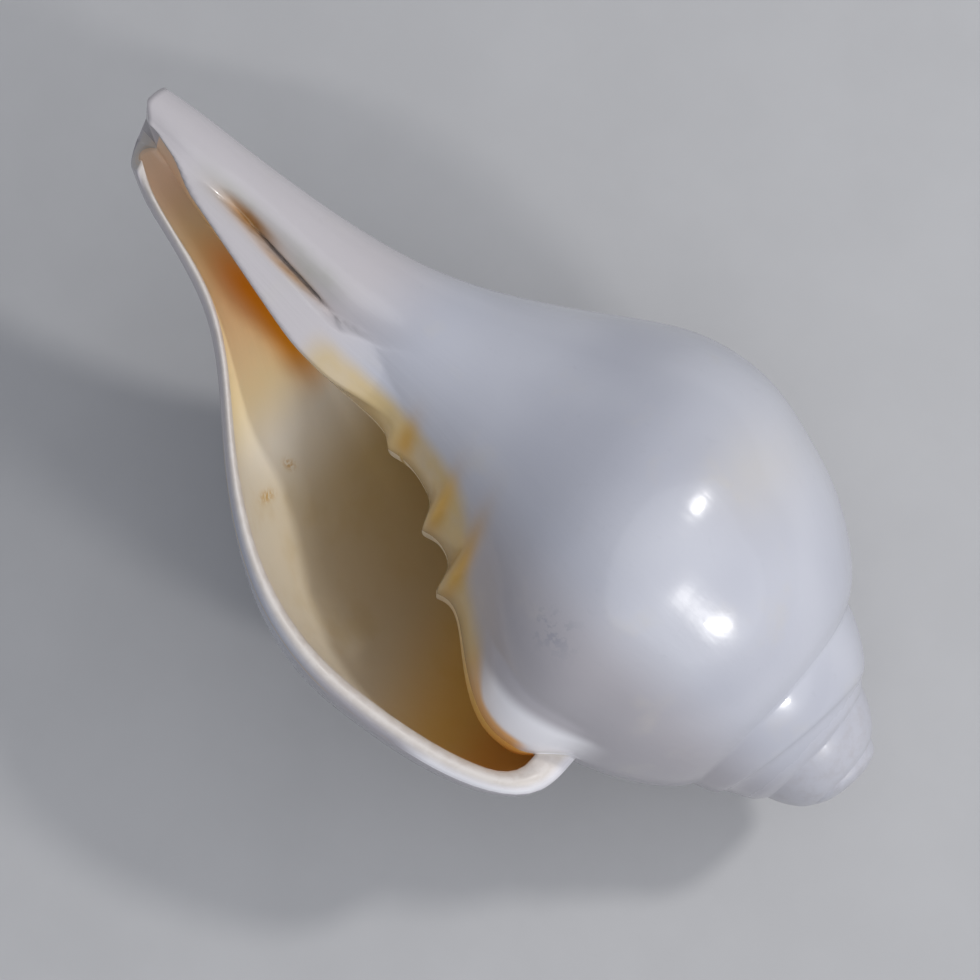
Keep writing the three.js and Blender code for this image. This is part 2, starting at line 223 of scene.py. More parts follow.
# Where the finish changes: heights and distances to the mouth's side in mm, depths in turns
CANAL_TINT = (36.0, 50.0)
# Painted shade on the skin beside the mouth: its distance to the mouth's side and its heights
MOUTH_SHADE_SIDE = (2.0, 13.0)
MOUTH_SHADE_HEIGHTS = (58.0, 72.0)
FRONT_DEPTH = 0.1
WORN_HEIGHTS = (119.0, 125.0)
PAD_EDGE = (-0.05, -0.056)
PAD_EDGE_HEIGHTS = (83.0, 95.0)
PAD_SOFT = 0.014
PAD_LOW = (81.0, 87.0)
PAD_HIGH = (97.5, 103.5)
# The lining darkens further back: partly its own deeper colour, partly painted shade
DEEP = (0.03, 0.3)
# Painted pool of lamp light on the lining towards the canal: heights, depths in turns, distances to the
# mouth's side
LIGHT_POOL_HEIGHTS = (42.0, 54.0)
LIGHT_POOL_DEPTH = (0.02, 0.07)
LIGHT_POOL_SIDE = (19.0, 27.0)
UPPER_SLOPE = 0.2
UPPER_HEIGHTS = (66.0, 82.0)
CORNER_HEIGHTS = (88.0, 94.0)
GUTTER_HEIGHTS = (35.0, 44.0)
GUTTER_END_HEIGHTS = (7.0, 22.0)
FLAME_HEIGHTS = (14.0, 26.0)
FLAME_SLOPE = 0.16
FLAME_PLACE = 3.0
FLAME_WIDTH = 2.4
BAND_HEIGHTS = (63.0, 79.0)
BAND_EDGE = (-0.135, -0.065)
BAND_HIGH_EDGE = -0.021
BAND_HIGH = (79.0, 87.0)
BAND_SOFT = (0.04, 0.006)
BAND_ROWS = (6.1, 6.6)
BAND_LOW = (36.0, 41.0)
ROOT_SLOPE = 0.35
ROOT_DEPTH = -0.065
ROOT_REACH = 0.055
# Painted shade in the hollow beside the pillar: heights where it starts and ends, its place and width
HOLLOW_SHADE_LOW = (9.0, 14.0)
HOLLOW_SHADE_HIGH = (32.0, 40.0)
HOLLOW_SHADE_PLACE = -0.4
HOLLOW_SHADE_WIDTH = 2.2
STRIP_DEPTHS = (-0.28, -0.22)
STAIN_DEPTHS = (-0.25, -0.2)

# Small patches of the finish: distance to the mouth's side, height, half width, half height
BLOTCH = (-20.6, 91.0, 7.0, 6.0)
MARKS = (11.9, 85.7, 2.2, 3.2)
SPECKS = [(25.8, 47.2, 0.9, 0.7), (20.8, 46.3, 0.6, 0.8)]
PIT_STAIN = (0.4, 20.5, 1.1, 4.5)
SLIT_STAIN = (1.8, 29.0, 0.6, 5.0)
# The folds' roots: height on the axis, half height
ROOTS = [(67.2, 1.2), (61.4, 1.2), (53.2, 1.4)]


def smooth_step(value):
    value = np.clip(value, 0, 1)
    return value * value * (3 - 2 * value)


def over(values, turn, ease):
    """A quadratic through values at 0, a half and 1, easing to a constant past 1."""
    a, b, c = values
    bend = 2 * (a - 2 * b + c)
    slope = 4 * b - 3 * a - c
    past = np.maximum(turn - 1, 0)
    later = c + (slope + 2 * bend) * past * np.exp(-past / ease)
    return np.where(turn <= 1, a + slope * turn + bend * turn * turn, later)


def stations(turn, growth, apex):
    """Radius and drop of every station at each turn, as arrays [station, turn]."""
    lip = smooth_step(1 - turn / SWELL_TURN)
    rows = []
    for number, (radius, drop) in enumerate(SHOULDER):
        swell = LIP_SWELL[number] if number < len(LIP_SWELL) else (0, 0)
        rows.append((radius + swell[0] * lip, drop + swell[1] * lip))
    seam = [(SHOULDER[3][i] + 4 * SHOULDER[4][i] + SHOULDER[5][i]) / 6 / growth for i in (0, 1)]
    rows.insert(0, tuple(np.full_like(turn, value) for value in seam))
    for number, places in enumerate(BASE):
        ease = EASE[max(0, number + len(SHOULDER) + 1 - EASE_ROW)]
        steps = [index / 2 * math.log(growth) for index in range(3)]
        radius = [math.log(place[0]) + step for place, step in zip(places, steps)]
        drop = [math.log(apex - place[1]) + step for place, step in zip(places, steps)]
        rows.append((np.exp(over(radius, turn, ease)), np.exp(over(drop, turn, ease))))
    rows.insert(0, tuple(2 * rows[0][i] - rows[1][i] for i in (0, 1)))
    rows.append(tuple(2 * rows[-1][i] - rows[-2][i] for i in (0, 1)))
    return np.array([row[0] for row in rows]), np.array([row[1] for row in rows])


def outline(turn, row, growth, apex):
    """The outline between the stations, a uniform cubic B-spline: radius and drop."""
    turn, row = np.broadcast_arrays(np.asarray(turn, float), np.asarray(row, float))
    shape, turn, row = turn.shape, turn.ravel(), row.ravel()
    radius, drop = stations(turn, growth, apex)
    first = np.minimum(LAST - 1, np.floor(row)).astype(int)
    w = row - first
    weights = [(1 - w) ** 3, 3 * w**3 - 6 * w**2 + 4, -3 * w**3 + 3 * w**2 + 3 * w + 1, w**3]
    pick = np.arange(len(row))

    def along(table):
        return (sum(weight * table[first + i, pick] for i, weight in enumerate(weights)) / 6).reshape(shape)

    return along(radius), along(drop)


def floor_row(turn):
    """The chamber's lower side: the station where its two walls meet."""
    past = np.maximum(0, turn - CANAL_TURN) / CANAL_REACH
    return (LAST + CHAMBER_ROW * past) / (1 + past)


def floor_turn(row):
    """The turn at which the two walls meet along a row."""
    return CANAL_TURN + CANAL_REACH * (LAST - row) / np.maximum(1e-3, row - CHAMBER_ROW)


class Growth:
    """Collects the grids of the surface as points and faces, each point with its place in the coil."""

    FIELDS = ("near_turn", "near_row", "far_turn", "far_row", "across", "close", "bulge", "stretch")

    def __init__(self):
        self.points = {name: [] for name in self.FIELDS}
        self.marks = {"inside": [], "depth": [], "row": []}
        self.faces = []
        self.count = 0

    def grid(self, columns, rows, place, inside, depth, flip=False):
        """place(column, row) gives the fields; inside and depth mark the surface for its colours."""
        c, r = np.meshgrid(np.asarray(columns, float), np.asarray(rows, float), indexing="ij")
        fields = {"across": 0, "close": 0, "bulge": 0, "stretch": 1, **place(c, r)}
        fields.setdefault("far_turn", fields["near_turn"])
        fields.setdefault("far_row", fields["near_row"])
        for name in self.FIELDS:
            self.points[name].append((fields[name] + 0 * c).ravel())
        for name, value in (("inside", inside(c, r)), ("depth", depth(c, r)), ("row", fields["near_row"])):
            self.marks[name].append((value + 0 * c).ravel())
        tall, wide = len(rows), len(columns)
        i, j = np.meshgrid(np.arange(wide - 1), np.arange(tall - 1), indexing="ij")
        a = (self.count + i * tall + j).ravel()
        ring = [a, a + tall, a + tall + 1, a + 1] if flip else [a, a + 1, a + tall + 1, a + tall]
        self.faces.append(np.stack(ring, axis=1))
        self.count += wide * tall

    def mesh(self, name, growth, apex):
        """A flat sheet that carries every point's fields, for the node tree to wind up."""
        fields = {key: np.concatenate(values) for key, values in self.points.items()}
        faces = np.concatenate(self.faces)
        mesh = bpy.data.meshes.new(name)
        mesh.vertices.add(self.count)
        flat = np.zeros((self.count, 3), np.float32)
        flat[:, 0], flat[:, 1] = fields["near_turn"], fields["near_row"]
        flat[:, 2] = np.arange(self.count)
        mesh.vertices.foreach_set("co", flat.ravel())
        mesh.loops.add(faces.size)
        mesh.loops.foreach_set("vertex_index", faces.ravel().astype(np.int32))
        mesh.polygons.add(len(faces))
        mesh.polygons.foreach_set("loop_start", (np.arange(len(faces)) * 4).astype(np.int32))
        for side in ("near", "far"):
            pair = outline(fields[side + "_turn"], fields[side + "_row"], growth, apex)
            fields[side + "_radius"], fields[side + "_drop"] = pair
        for key, values in fields.items():
            mesh.attributes.new(key, "FLOAT", "POINT").data.foreach_set("value", values.astype(np.float32))
        for key, values in self.marks.items():
            corner = np.concatenate(values)[faces.ravel()]
            mesh.attributes.new(key, "FLOAT", "CORNER").data.foreach_set("value", corner.astype(np.float32))
        mesh.update(calc_edges=True)
        return mesh


def spread(stops):
    """Rows from stop to stop: (start, step), (start, step), ..., end."""
    rows = []
    for (start, step), after in zip(stops[:-1], stops[1:]):
        end = after[0] if isinstance(after, tuple) else after
        count = max(1, round((end - start) / step))
        rows += [start + (end - start) * i / count for i in range(count)]
    return rows + [stops[-1]]


def turns(start, end, steps):
    """Evenly spaced turns from start to end."""
    return [start + i / steps for i in range(round((end - start) * steps) + 1)]


def columns(start, end, steps):
    """Columns of the coil, twice as close where the pillar's strip and slit lie."""
    places = turns(start, end, steps)
    low, high = FINE_TURNS
    extra = [turn + 0.5 / steps for turn in places if turn < end and low <= turn % 1 < high]
    return sorted(places + extra)


def inside_row(turn, row):
    """The row where a turn meets the chamber's inside, for a row at the lip."""
    share = (row - CORNER_ROW) / (LAST - CORNER_ROW)
    return CORNER_ROW + (floor_row(turn - 1) - CORNER_ROW) * share


def rounded(share):
    """How far a corner of the chamber has opened, at a share of the way across its rounding."""
    return (1 - (1 - np.clip(share, 0, 1)) ** 2) ** ROUNDNESS


def skin(turn, row):
    """The outside of the coil."""
    return {"near_turn": turn, "near_row": row}


def whorl(turn, row):
    """The turn before, where it is the chamber's inner side."""
    return {"near_turn": 1 + turn, "near_row": inside_row(1 + turn, row)}


def lining(turn, share, across=1.0):
    """The wall's inner face, or a point part of the way across the wall."""
    last = floor_row(turn)
    low = rounded((floor_turn(last * share) - turn) / FLOOR_ROUND)
    return {
        "near_turn": turn,
        "near_row": last * share,
        "far_turn": turn + 1,
        "far_row": CORNER_ROW + (last - CORNER_ROW) * share,
        "across": across,
        "close": rounded(share / TOP_ROUND) * low,
    }


def rim(across, row):
    """The lip's rounded edge, which ends on the whorl between the seam and the mouth's corner."""
    place = lining(0 * row, row / LAST, across)
    top = row == 0
    ends = smooth_step(row) * smooth_step((LAST - row) / RIM_EASE)
    place["bulge"] = np.sin(math.pi * across) * ends
    place["near_turn"] = np.where(top, 1, 0)
    place["near_row"] = np.where(top, SEAM_ROW + across, row)
    place["across"] = np.where(top, 0, across)
    return place


def foot_size(turn):
    """The size of the sole's edge, as a share of the outline's last row."""
    return FOOT_START + (1 - FOOT_START) * (turn - CANAL_TURN)


def foot(turn, across):
    """The canal's end: across the wall, then on the pillar inwards from the last row."""
    place = lining(turn, np.ones_like(turn), across)
    past = turn > CANAL_TURN + TINY
    place["near_turn"], place["near_row"] = turn, LAST + 0 * turn
    place["across"] = np.where(past, 0, across)
    place["stretch"] = np.where(past, 1 + (foot_size(turn) - 1) * across, 1)
    return place


def sole(turn, share):
    """The disc that closes the pillar's foot."""
    begin = np.abs(turn - CANAL_TURN) < TINY
    return {
        "near_turn": np.where(begin, 1 + CANAL_TURN, turn),
        "near_row": LAST + 0 * turn,
        "stretch": np.where(begin, 1, foot_size(turn)) * (1 - share),
    }


def back(inwards, edge):
    """The chamber's closed back, from its edge to one point in its middle."""
    near = {"near_turn": CHAMBER_TURNS, "near_row": floor_row(float(CHAMBER_TURNS)) * 0.5}
    far = {"far_turn": 1 + CHAMBER_TURNS, "far_row": BACK_ROW}
    middle = {**near, **far, "across": 0.5, "close": 0}
    return {key: np.where(inwards > 0.5, middle[key], edge[key]) for key in middle}


def back_wall(inwards, share):
    return back(inwards, lining(np.full_like(share, CHAMBER_TURNS), share))


def back_whorl(inwards, row):
    turn = 1 + CHAMBER_TURNS
    at = inside_row(turn, row)
    edge = {"near_turn": turn, "near_row": at, "far_turn": turn, "far_row": at, "across": 0, "close": 0}
    return back(inwards, edge)


def sheet(growth, apex, steps):
    """All grids of the shell, as one flat sheet, with how far inside and how deep each part lies."""
    band, edge, body = spread(BAND_STEPS), spread(EDGE_STEPS)[1:], spread(BODY_STEPS)[1:]
    rows, inner = band + edge + body, [CORNER_ROW] + body
    shares = [row / LAST for row in rows]
    rim_steps = [row - SEAM_ROW for row in [SEAM_ROW] + edge]
    depths = turns(0, 1, steps) + turns(1, CHAMBER_TURNS, steps // 2)[1:]
    end, ends = 1 + CANAL_TURN, [0, 1]

    def same(value):
        return lambda column, row: 0 * column + value

    def turn_at(turn, row):
        return turn

    def before_lip(turn, row):
        return turn - 1

    def past_lip(turn, share):
        return 0.5 + 0.5 * smooth_step(turn / LINING_EASE)

    def over_rim(across, row):
        return 0.5 * across

    def canal_rim(turn, across):
        return across * (turn < CANAL_TURN + TINY)

    shell = Growth()
    shell.grid(columns(0, 1, steps), rows, skin, same(0), before_lip)
    shell.grid(columns(1, SPIRE_TURNS, steps), band, skin, same(0), same(-1))
    shell.grid(depths, inner, whorl, same(1), turn_at)
    shell.grid(depths, shares, lining, past_lip, turn_at, flip=True)
    shell.grid(rim_steps, rows, rim, over_rim, same(0), flip=True)
    shell.grid(columns(0, end, steps), rim_steps, foot, canal_rim, same(0))
    shell.grid(columns(CANAL_TURN, end, steps), turns(0, 1, SOLE_ROWS), sole, same(0), same(0))
    shell.grid(ends, shares, back_wall, same(1), same(CHAMBER_TURNS), flip=True)
    shell.grid(ends, inner, back_whorl, same(1), same(CHAMBER_TURNS))
    return shell.mesh("shell_sheet", growth, apex)


class Net:
    """A node tree that nodes are added to with their settings and sockets in one call."""

    def __init__(self, tree):
        self.tree = tree
        self.tree.nodes.clear()

    def add(self, kind, settings=None, sockets=None, output=0):
        node = self.tree.nodes.new(kind)
        for name, value in (settings or {}).items():
            setattr(node, name, value)
        for name, value in (sockets or {}).items():
            socket = node.inputs[name]
            if isinstance(value, Value):
                self.tree.links.new(value.socket, socket)
            else:
                socket.default_value = value
        if output is None:
            return node
        return Value(self, node.outputs[output])

    def math(self, operation, *values, clamp=False):
        sockets = dict(enumerate(values))
        return self.add("ShaderNodeMath", {"operation": operation, "use_clamp": clamp}, sockets)

    def vector(self, operation, *values, output=0):
        return self.add("ShaderNodeVectorMath", {"operation": operation}, dict(enumerate(values)), output)

    def mix(self, share, first, second):
        """Mixes two colours."""
        settings = {"data_type": "RGBA", "clamp_factor": True}
        return self.add("ShaderNodeMix", settings, {0: share, 6: first, 7: second}, 2)

    def noise(self, place, scale, detail, roughness=0.5):
        sockets = {"Vector": place, "Scale": scale, "Detail": detail, "Roughness": roughness}
        return self.add("ShaderNodeTexNoise", {"noise_dimensions": "3D"}, sockets)


class Value:
    """A socket that holds a number, used in plain expressions."""

    def __init__(self, net, socket):
        self.net = net
        self.socket = socket

    def __add__(self, other):
        return self.net.math("ADD", self, other)

    __radd__ = __add__

    def __sub__(self, other):
        return self.net.math("SUBTRACT", self, other)

    def __rsub__(self, other):
        return self.net.math("SUBTRACT", other, self)

    def __mul__(self, other):
        return self.net.math("MULTIPLY", self, other)

    __rmul__ = __mul__

    def __truediv__(self, other):
        return self.net.math("DIVIDE", self, other)

    def __rtruediv__(self, other):
        return self.net.math("DIVIDE", other, self)

    def __pow__(self, other):
        return self.net.math("POWER", self, other)

    def __rpow__(self, other):
        return self.net.math("POWER", other, self)

    def __neg__(self):
        return self.net.math("MULTIPLY", self, -1.0)

    def least(self, other):
        return self.net.math("MINIMUM", self, other)

    def most(self, other):
        return self.net.math("MAXIMUM", self, other)

    def sin(self):
        return self.net.math("SINE", self)

    def cos(self):
        return self.net.math("COSINE", self)

    def exp(self):
        return self.net.math("EXPONENT", self)

    def root(self):
        return self.net.math("SQRT", self)

    def over(self, other):
        return self.net.math("GREATER_THAN", self, other)

    def clamp(self):
        return self.net.math("ADD", self, 0.0, clamp=True)

    def smooth(self):
        held = self.clamp()
        return held * held * (3.0 - 2.0 * held)

    def bump(self, middle, width):
        """One at the middle, falling to nothing on both sides like a bell."""
        off = (self - middle) / width
        return (-(off * off)).exp()

    def step(self, start, end):
        """Nothing before start and one after end."""
        return ((self - start) * (1.0 / (end - start))).smooth()

    def fade(self, start, end):
        """One before start and nothing after end."""
        return ((end - self) * (1.0 / (end - start))).smooth()


def blend(first, second, share):
    """From the first at a share of nothing to the second at a share of one."""
    return first + (second - first) * share


def soft_least(first, second, width):
    """The smaller of two values, rounded where they cross."""
    off = first - second
    return 0.5 * (first + second - (off * off + width * width).root())


# The node tree's inputs and their defaults
SIZES = [
    ("Growth", GROWTH),
    ("Apex Height", APEX),
    ("Lip Angle", LIP_ANGLE),
    ("Lip Wall", LIP_WALL),
    ("Canal Wall", CANAL_WALL),
    ("Lip Roundness", LIP_ROUND),
    ("Fold Height", FOLD_HEIGHT),
    ("Worn Apex Height", WORN_TOP),
    ("Spire Lean", 0.1),
    ("Strip Depth", 4.9),
    ("Chink Depth", 2.0),
    ("Callus", 2.7),
    ("End Lift", 2.2),
]


def field(net, name):
    """A point's value that the flat sheet carries."""
    return net.add("GeometryNodeInputNamedAttribute", {"data_type": "FLOAT"}, {"Name": name})


def folds(row, turn):
    """Each fold has a slow rise above its crest and a steep drop below it."""
    height = 0.0
    for crest, size, above, below in FOLDS:
        off = row - crest
        wide = below + (above - below) * (-off).over(0.0)
        steep = off / wide
        height = height + size * (-((steep * steep) ** (FOLD_POINT / 2))).exp()
    return height * turn.step(*FOLD_TURNS)


def callus(turn, height):
    """The callus's share of its thickness: a flat face that rises to an edge at the mouth."""
    face = ((turn - CALLUS_TURN) / CALLUS_RISE).clamp() * turn.fade(*CALLUS_FADE)
    return face * height.step(*CALLUS_LOW) * height.fade(*CALLUS_HIGH)


def pillar_radius(turn, angle, radius, height, size):
    """The radius where the flat strip, its margin, the hollow beside it and the gutter shape it."""
    side = angle - (2 * math.pi)
    facing = (side + math.pi / 2).least(WIDEST).most(-WIDEST)
    plane = size["Strip Depth"] + STRIP_SLOPE * soft_least(height, STRIP_TOP, STRIP_EASE)
    margin = MARGIN_FOOT + MARGIN_SLOPE * (height - MARGIN_LOW).most(0.0)
    margin = margin - MARGIN_BACK * (height - STRIP_TOP).most(0.0)
    margin = margin - MARGIN_NOTCH * height.step(*NOTCH_HEIGHTS)
    right = plane * facing.sin() / facing.cos() - margin
    width = MARGIN_WIDTH + MARGIN_SOFT * height.fade(*SOFT_HEIGHTS)
    lift = (plane / facing.cos() - radius).most(0.0) * (right / width + 0.5).smooth()

    hollow = HOLLOW_DEPTH * height.step(*HOLLOW_LOW) * height.fade(*HOLLOW_HIGH)
    hollow = hollow * right.bump(0.0, HOLLOW_WIDTH)
    slit = size["Chink Depth"] * height.step(*SLIT_LOW) * height.fade(*SLIT_HIGH)
    slit = slit * right.bump(SLIT_PLACE, SLIT_WIDTH)
    pit = PIT_DEPTH * height.bump(PIT_HEIGHT, PIT_REACH) * right.bump(PIT_PLACE, PIT_WIDTH)
    sunk = (hollow + slit + pit) * (0.5 - right / MARGIN_WIDTH).smooth()

    front = radius + (lift - sunk) * turn.step(*STRIP_TURNS)
    line = EDGE_FOOT + EDGE_SLOPE * height - height.fade(*EDGE_IN_HEIGHTS)
    edge = soft_least(line.most(EDGE_LEAST), EDGE_MOST, EDGE_BEND)
    gutter = edge / side.cos().most(LEAST_COSINE)
    pillar = soft_least(front, gutter, EDGE_ROUND)
    return blend(pillar, radius, turn.step(GUTTER_END, 1.0 + CANAL_TURN))


def coil(net, side, size):
    """The surface at a turn and a row: a point in mm, standing on the canal."""
    turn, row = field(net, side + "_turn"), field(net, side + "_row")
    shrink = size["Growth"] ** (-turn)
    angle = turn * (2 * math.pi) + size["Lip Angle"]
    radius = field(net, side + "_radius") * shrink
    height = size["Apex Height"] - field(net, side + "_drop") * shrink

    age = turn - row * (1 / SEAM_ROW)
    left = (WORN_TURN - age).clamp()
    left = left * left.over(GONE)
    band_radius = radius * left
    worn_top = size["Worn Apex Height"]
    dome = soft_least(height, worn_top - DOME_DROP * band_radius**DOME_POWER, DOME_ROUND)
    band_height = blend(worn_top, blend(height, dome, age.step(*DOME_TURNS)), left)

    dip = END_DIP * turn.bump(END_DIP_TURN, END_DIP_WIDTH)
    end = size["End Lift"] * turn.step(*END_LIFT_TURNS) - dip
    height = height + end * row.step(END_ROW, LAST)
    radius = radius + folds(row, turn) * size["Fold Height"]
    radius = radius + size["Callus"] * callus(turn, height)
    pillar = pillar_radius(turn, angle, radius, height, size)
    radius = blend(radius, pillar, turn.over(STRIP_TURNS[0]) * height.fade(*PILLAR_FADE))

    low = row.over(PAST_SEAM)
    radius = blend(band_radius, radius, low)
    height = blend(band_height, height, low)
    x, y = radius * angle.cos(), radius * angle.sin()
    lean = size["Spire Lean"] * height.step(*LEAN_HEIGHTS)
    point = net.add("ShaderNodeCombineXYZ", None, {"X": x, "Y": y, "Z": height - lean * x})
    return point, shrink, row


def coil_tree(material):
    """Winds the flat sheet into the shell, lays it down and flattens the spot it rests on."""
    tree = bpy.data.node_groups.new("Shell Coil", "GeometryNodeTree")
    net = Net(tree)
    tree.interface.new_socket("Geometry", in_out="INPUT", socket_type="NodeSocketGeometry")
    for name, default in SIZES:
        socket = tree.interface.new_socket(name, in_out="INPUT", socket_type="NodeSocketFloat")
        socket.default_value = default
    for name in ("Lying Turn", "Spot"):
        tree.interface.new_socket(name, in_out="INPUT", socket_type="NodeSocketVector")
    tree.interface.new_socket("Geometry", in_out="OUTPUT", socket_type="NodeSocketGeometry")
    inputs = net.add("NodeGroupInput", output=None)
    names = [item.name for item in tree.interface.items_tree if item.in_out == "INPUT"]
    given = {name: Value(net, inputs.outputs[name]) for name in names}

    near, shrink, near_row = coil(net, "near", given)
    far, _, _ = coil(net, "far", given)
    gap = net.vector("DISTANCE", near, far, output=1).most(LEAST_GAP)
    wall = blend(given["Lip Wall"], given["Canal Wall"], near_row.step(*THIN_ROWS)) * shrink
    open_share = (1.0 - wall / gap).most(LEAST_OPEN) * field(net, "close")
    share = (1.0 - open_share) * field(net, "across")
    point = net.add("ShaderNodeMix", {"data_type": "VECTOR"}, {0: share, 4: near, 5: far}, 1)
    lip = given["Lip Angle"]
    ahead = net.add("ShaderNodeCombineXYZ", None, {"X": lip.sin(), "Y": -lip.cos()})
    bulge = field(net, "bulge") * given["Lip Roundness"]
    point = net.vector("ADD", point, scaled(net, ahead, bulge))
    foot = (0.0, 0.0, FOOT_HEIGHT)
    from_foot = scaled(net, net.vector("SUBTRACT", point, foot), field(net, "stretch"))
    standing = scaled(net, net.vector("ADD", from_foot, foot), MM)

    wound = net.add("GeometryNodeSetPosition", None, {"Geometry": given["Geometry"], "Position": standing})
    merged = net.add("GeometryNodeMergeByDistance", None, {"Geometry": wound, "Distance": WELD * MM})
    place = net.add("GeometryNodeInputPosition")
    kept = net.add(
        "GeometryNodeStoreNamedAttribute",
        {"data_type": "FLOAT_VECTOR", "domain": "POINT"},
        {"Geometry": merged, "Name": "standing", "Value": place},
    )
    turned = net.add("GeometryNodeTransform", None, {"Geometry": kept, "Rotation": given["Lying Turn"]})
    box = net.add("GeometryNodeBoundBox", None, {"Geometry": turned}, None)
    low, high = Value(net, box.outputs["Min"]), Value(net, box.outputs["Max"])
    middle = scaled(net, net.vector("ADD", low, high), 0.5)
    level = net.add("ShaderNodeSeparateXYZ", None, {0: low}, 2)
    centre = net.add("ShaderNodeSeparateXYZ", None, {0: middle}, None)
    ground = net.add(
        "ShaderNodeCombineXYZ",
        None,
        {"X": Value(net, centre.outputs[0]), "Y": Value(net, centre.outputs[1]), "Z": level},
    )
    offset = net.vector("SUBTRACT", given["Spot"], ground)
    moved = net.add("GeometryNodeSetPosition", None, {"Geometry": turned, "Offset": offset})
    resting = net.vector("MAXIMUM", place, (-FAR, -FAR, 0.0))
    flat = net.add("GeometryNodeSetPosition", None, {"Geometry": moved, "Position": resting})
    soft = net.add("GeometryNodeSetShadeSmooth", None, {"Geometry": flat})
    real = net.add("GeometryNodeRealizeInstances", None, {"Geometry": soft})
    done = net.add("GeometryNodeSetMaterial", None, {"Geometry": real, "Material": material})
    net.add("NodeGroupOutput", None, {"Geometry": done}, None)
    return tree


def scaled(net, vector, factor):
    """A vector times a number."""
    return net.add("ShaderNodeVectorMath", {"operation": "SCALE"}, {0: vector, "Scale": factor})


def colour(values):
    """A colour with its full opacity added."""
    return (*values, 1.0)


class Place:
    """Where a point lies on the shell, and the noises that break up its colours."""

    def __init__(self, net):
        standing = net.add("ShaderNodeAttribute", {"attribute_name": "standing"}, output=1)
        mm = scaled(net, standing, 1 / MM)
        split = net.add("ShaderNodeSeparateXYZ", None, {0: mm}, None)
        self.x, self.z = Value(net, split.outputs[0]), Value(net, split.outputs[2])
        self.inside = net.add("ShaderNodeAttribute", {"attribute_name": "inside"}, output=2)
        self.depth = net.add("ShaderNodeAttribute", {"attribute_name": "depth"}, output=2)
        self.row = net.add("ShaderNodeAttribute", {"attribute_name": "row"}, output=2)
        self.outer = 1.0 - self.inside.over(0.01)
        self.front = (FRONT_DEPTH - self.depth).over(0.0)
        self.worn = self.z.step(*WORN_HEIGHTS)
        self.on_rim = self.inside.step(0.04, 0.2) * self.inside.fade(0.7, 1.0)
        self.broad = net.noise(mm, 0.035, 2.0)
        self.cloud = net.noise(mm, 0.11, 3.0, 0.55)
        self.fine = net.noise(mm, 0.6, 3.0, 0.6)
        self.speck = net.noise(mm, 1.7, 2.0)

    def patch(self, x, z, wide, tall):
        """A soft round patch on the front."""
        return self.x.bump(x, wide) * self.z.bump(z, tall)


def skin_colour(net, look, at):
    """Milky white with cream clouds, painted shade by the mouth, worn at the apex, bright on the callus,
    partly by painted light.
    """
    skin = net.mix(at.broad.step(0.35, 0.7), colour(look.outside), colour(look.outside_light))
    skin = net.mix(at.z.fade(*CANAL_TINT) * 0.75, skin, colour(look.canal))
    # Painted shade: the skin beside the mouth is darkened where it turns away from the lamps
    mouth_shade_share = at.x.step(*MOUTH_SHADE_SIDE) * at.z.step(*MOUTH_SHADE_HEIGHTS) * at.front
    skin = net.mix(mouth_shade_share * 0.75, skin, colour(look.mouth_shade))
    blotch = at.patch(*BLOTCH) * (0.3 + at.cloud)
    creamy = at.cloud.step(0.56, 0.78) * 0.35 + blotch * 0.6
    skin = net.mix(creamy.clamp(), skin, colour(look.cream))
    marks = at.patch(*MARKS) * blend(at.fine, at.speck, 0.3).step(0.5, 0.58) * at.front
    greyish = at.fine.step(0.62, 0.8) * 0.12 + marks * 0.8
    skin = net.mix(greyish.clamp(), skin, colour(look.grey))
    skin = net.mix(at.worn * (0.35 + 0.4 * at.fine.step(0.4, 0.7)), skin, colour(look.worn))
    # The callus: its own glossy white, made lighter still as painted light for the lamp light its face
    # catches
    pad_edge = blend(*PAD_EDGE, at.z.step(*PAD_EDGE_HEIGHTS))
    pad = ((at.depth - pad_edge) / PAD_SOFT).smooth()
    pad = pad * at.z.step(*PAD_LOW) * at.z.fade(*PAD_HIGH)
    return net.mix(pad, skin, colour(look.callus))


def lining_colour(net, look, at):
    """Cream by the lip, darker further back partly by painted shade, a painted pool of lamp light, then tan
    and orange towards the canal's end.
    """
    # Darker further back: partly the lining's own deeper colour, partly painted shade inside the mouth
    lining = net.mix(at.depth.step(*DEEP), colour(look.lining), colour(look.lining_deep))
    lining = net.mix(at.cloud.step(0.45, 0.7) * 0.3, lining, colour(look.lining_deep))
    # Painted light: a pool of lamp light on the lining towards the canal
    light_pool = at.z.fade(*LIGHT_POOL_HEIGHTS) * at.depth.step(*LIGHT_POOL_DEPTH) * at.x.fade(*LIGHT_POOL_SIDE)
    lining = net.mix(light_pool * 0.85, lining, colour(look.light_pool))
    upper = (at.z - UPPER_SLOPE * at.x).step(*UPPER_HEIGHTS)
    lining = net.mix(upper * 0.85, lining, colour(look.upper))
    lining = net.mix(at.z.step(*CORNER_HEIGHTS) * 0.35, lining, colour(look.orange))
    gutter = at.z.fade(*GUTTER_HEIGHTS)
    lining = net.mix(gutter * 0.8, lining, colour(look.gutter))
    lining = net.mix(at.z.fade(*GUTTER_END_HEIGHTS) * 0.8, lining, colour(look.gutter_end))
    flame = (at.x - FLAME_SLOPE * at.z).bump(FLAME_PLACE, FLAME_WIDTH)
    flame = flame * gutter * at.z.step(*FLAME_HEIGHTS)
    lining = net.mix(flame, lining, colour(look.orange))
    specks = at.patch(*SPECKS[0]) + at.patch(*SPECKS[1])
    specks = (specks * at.speck.step(0.35, 0.55)).clamp()
    return net.mix(specks * 0.8, lining, colour(look.ochre_deep))


def rim_colour(net, look, at, skin, lining):
    """From the skin over the chalky rim, with a peach line, to the lining."""
    chalky = net.mix(at.fine.step(0.4, 0.62) * 0.6, colour(look.rim), colour(look.chalk))
    tone = net.mix(at.inside.step(0.04, 0.2), skin, chalky)
    tone = net.mix(at.inside.step(0.7, 1.0), tone, lining)
    return net.mix(at.inside.bump(0.62, 0.12) * 0.3, tone, colour(look.peach))


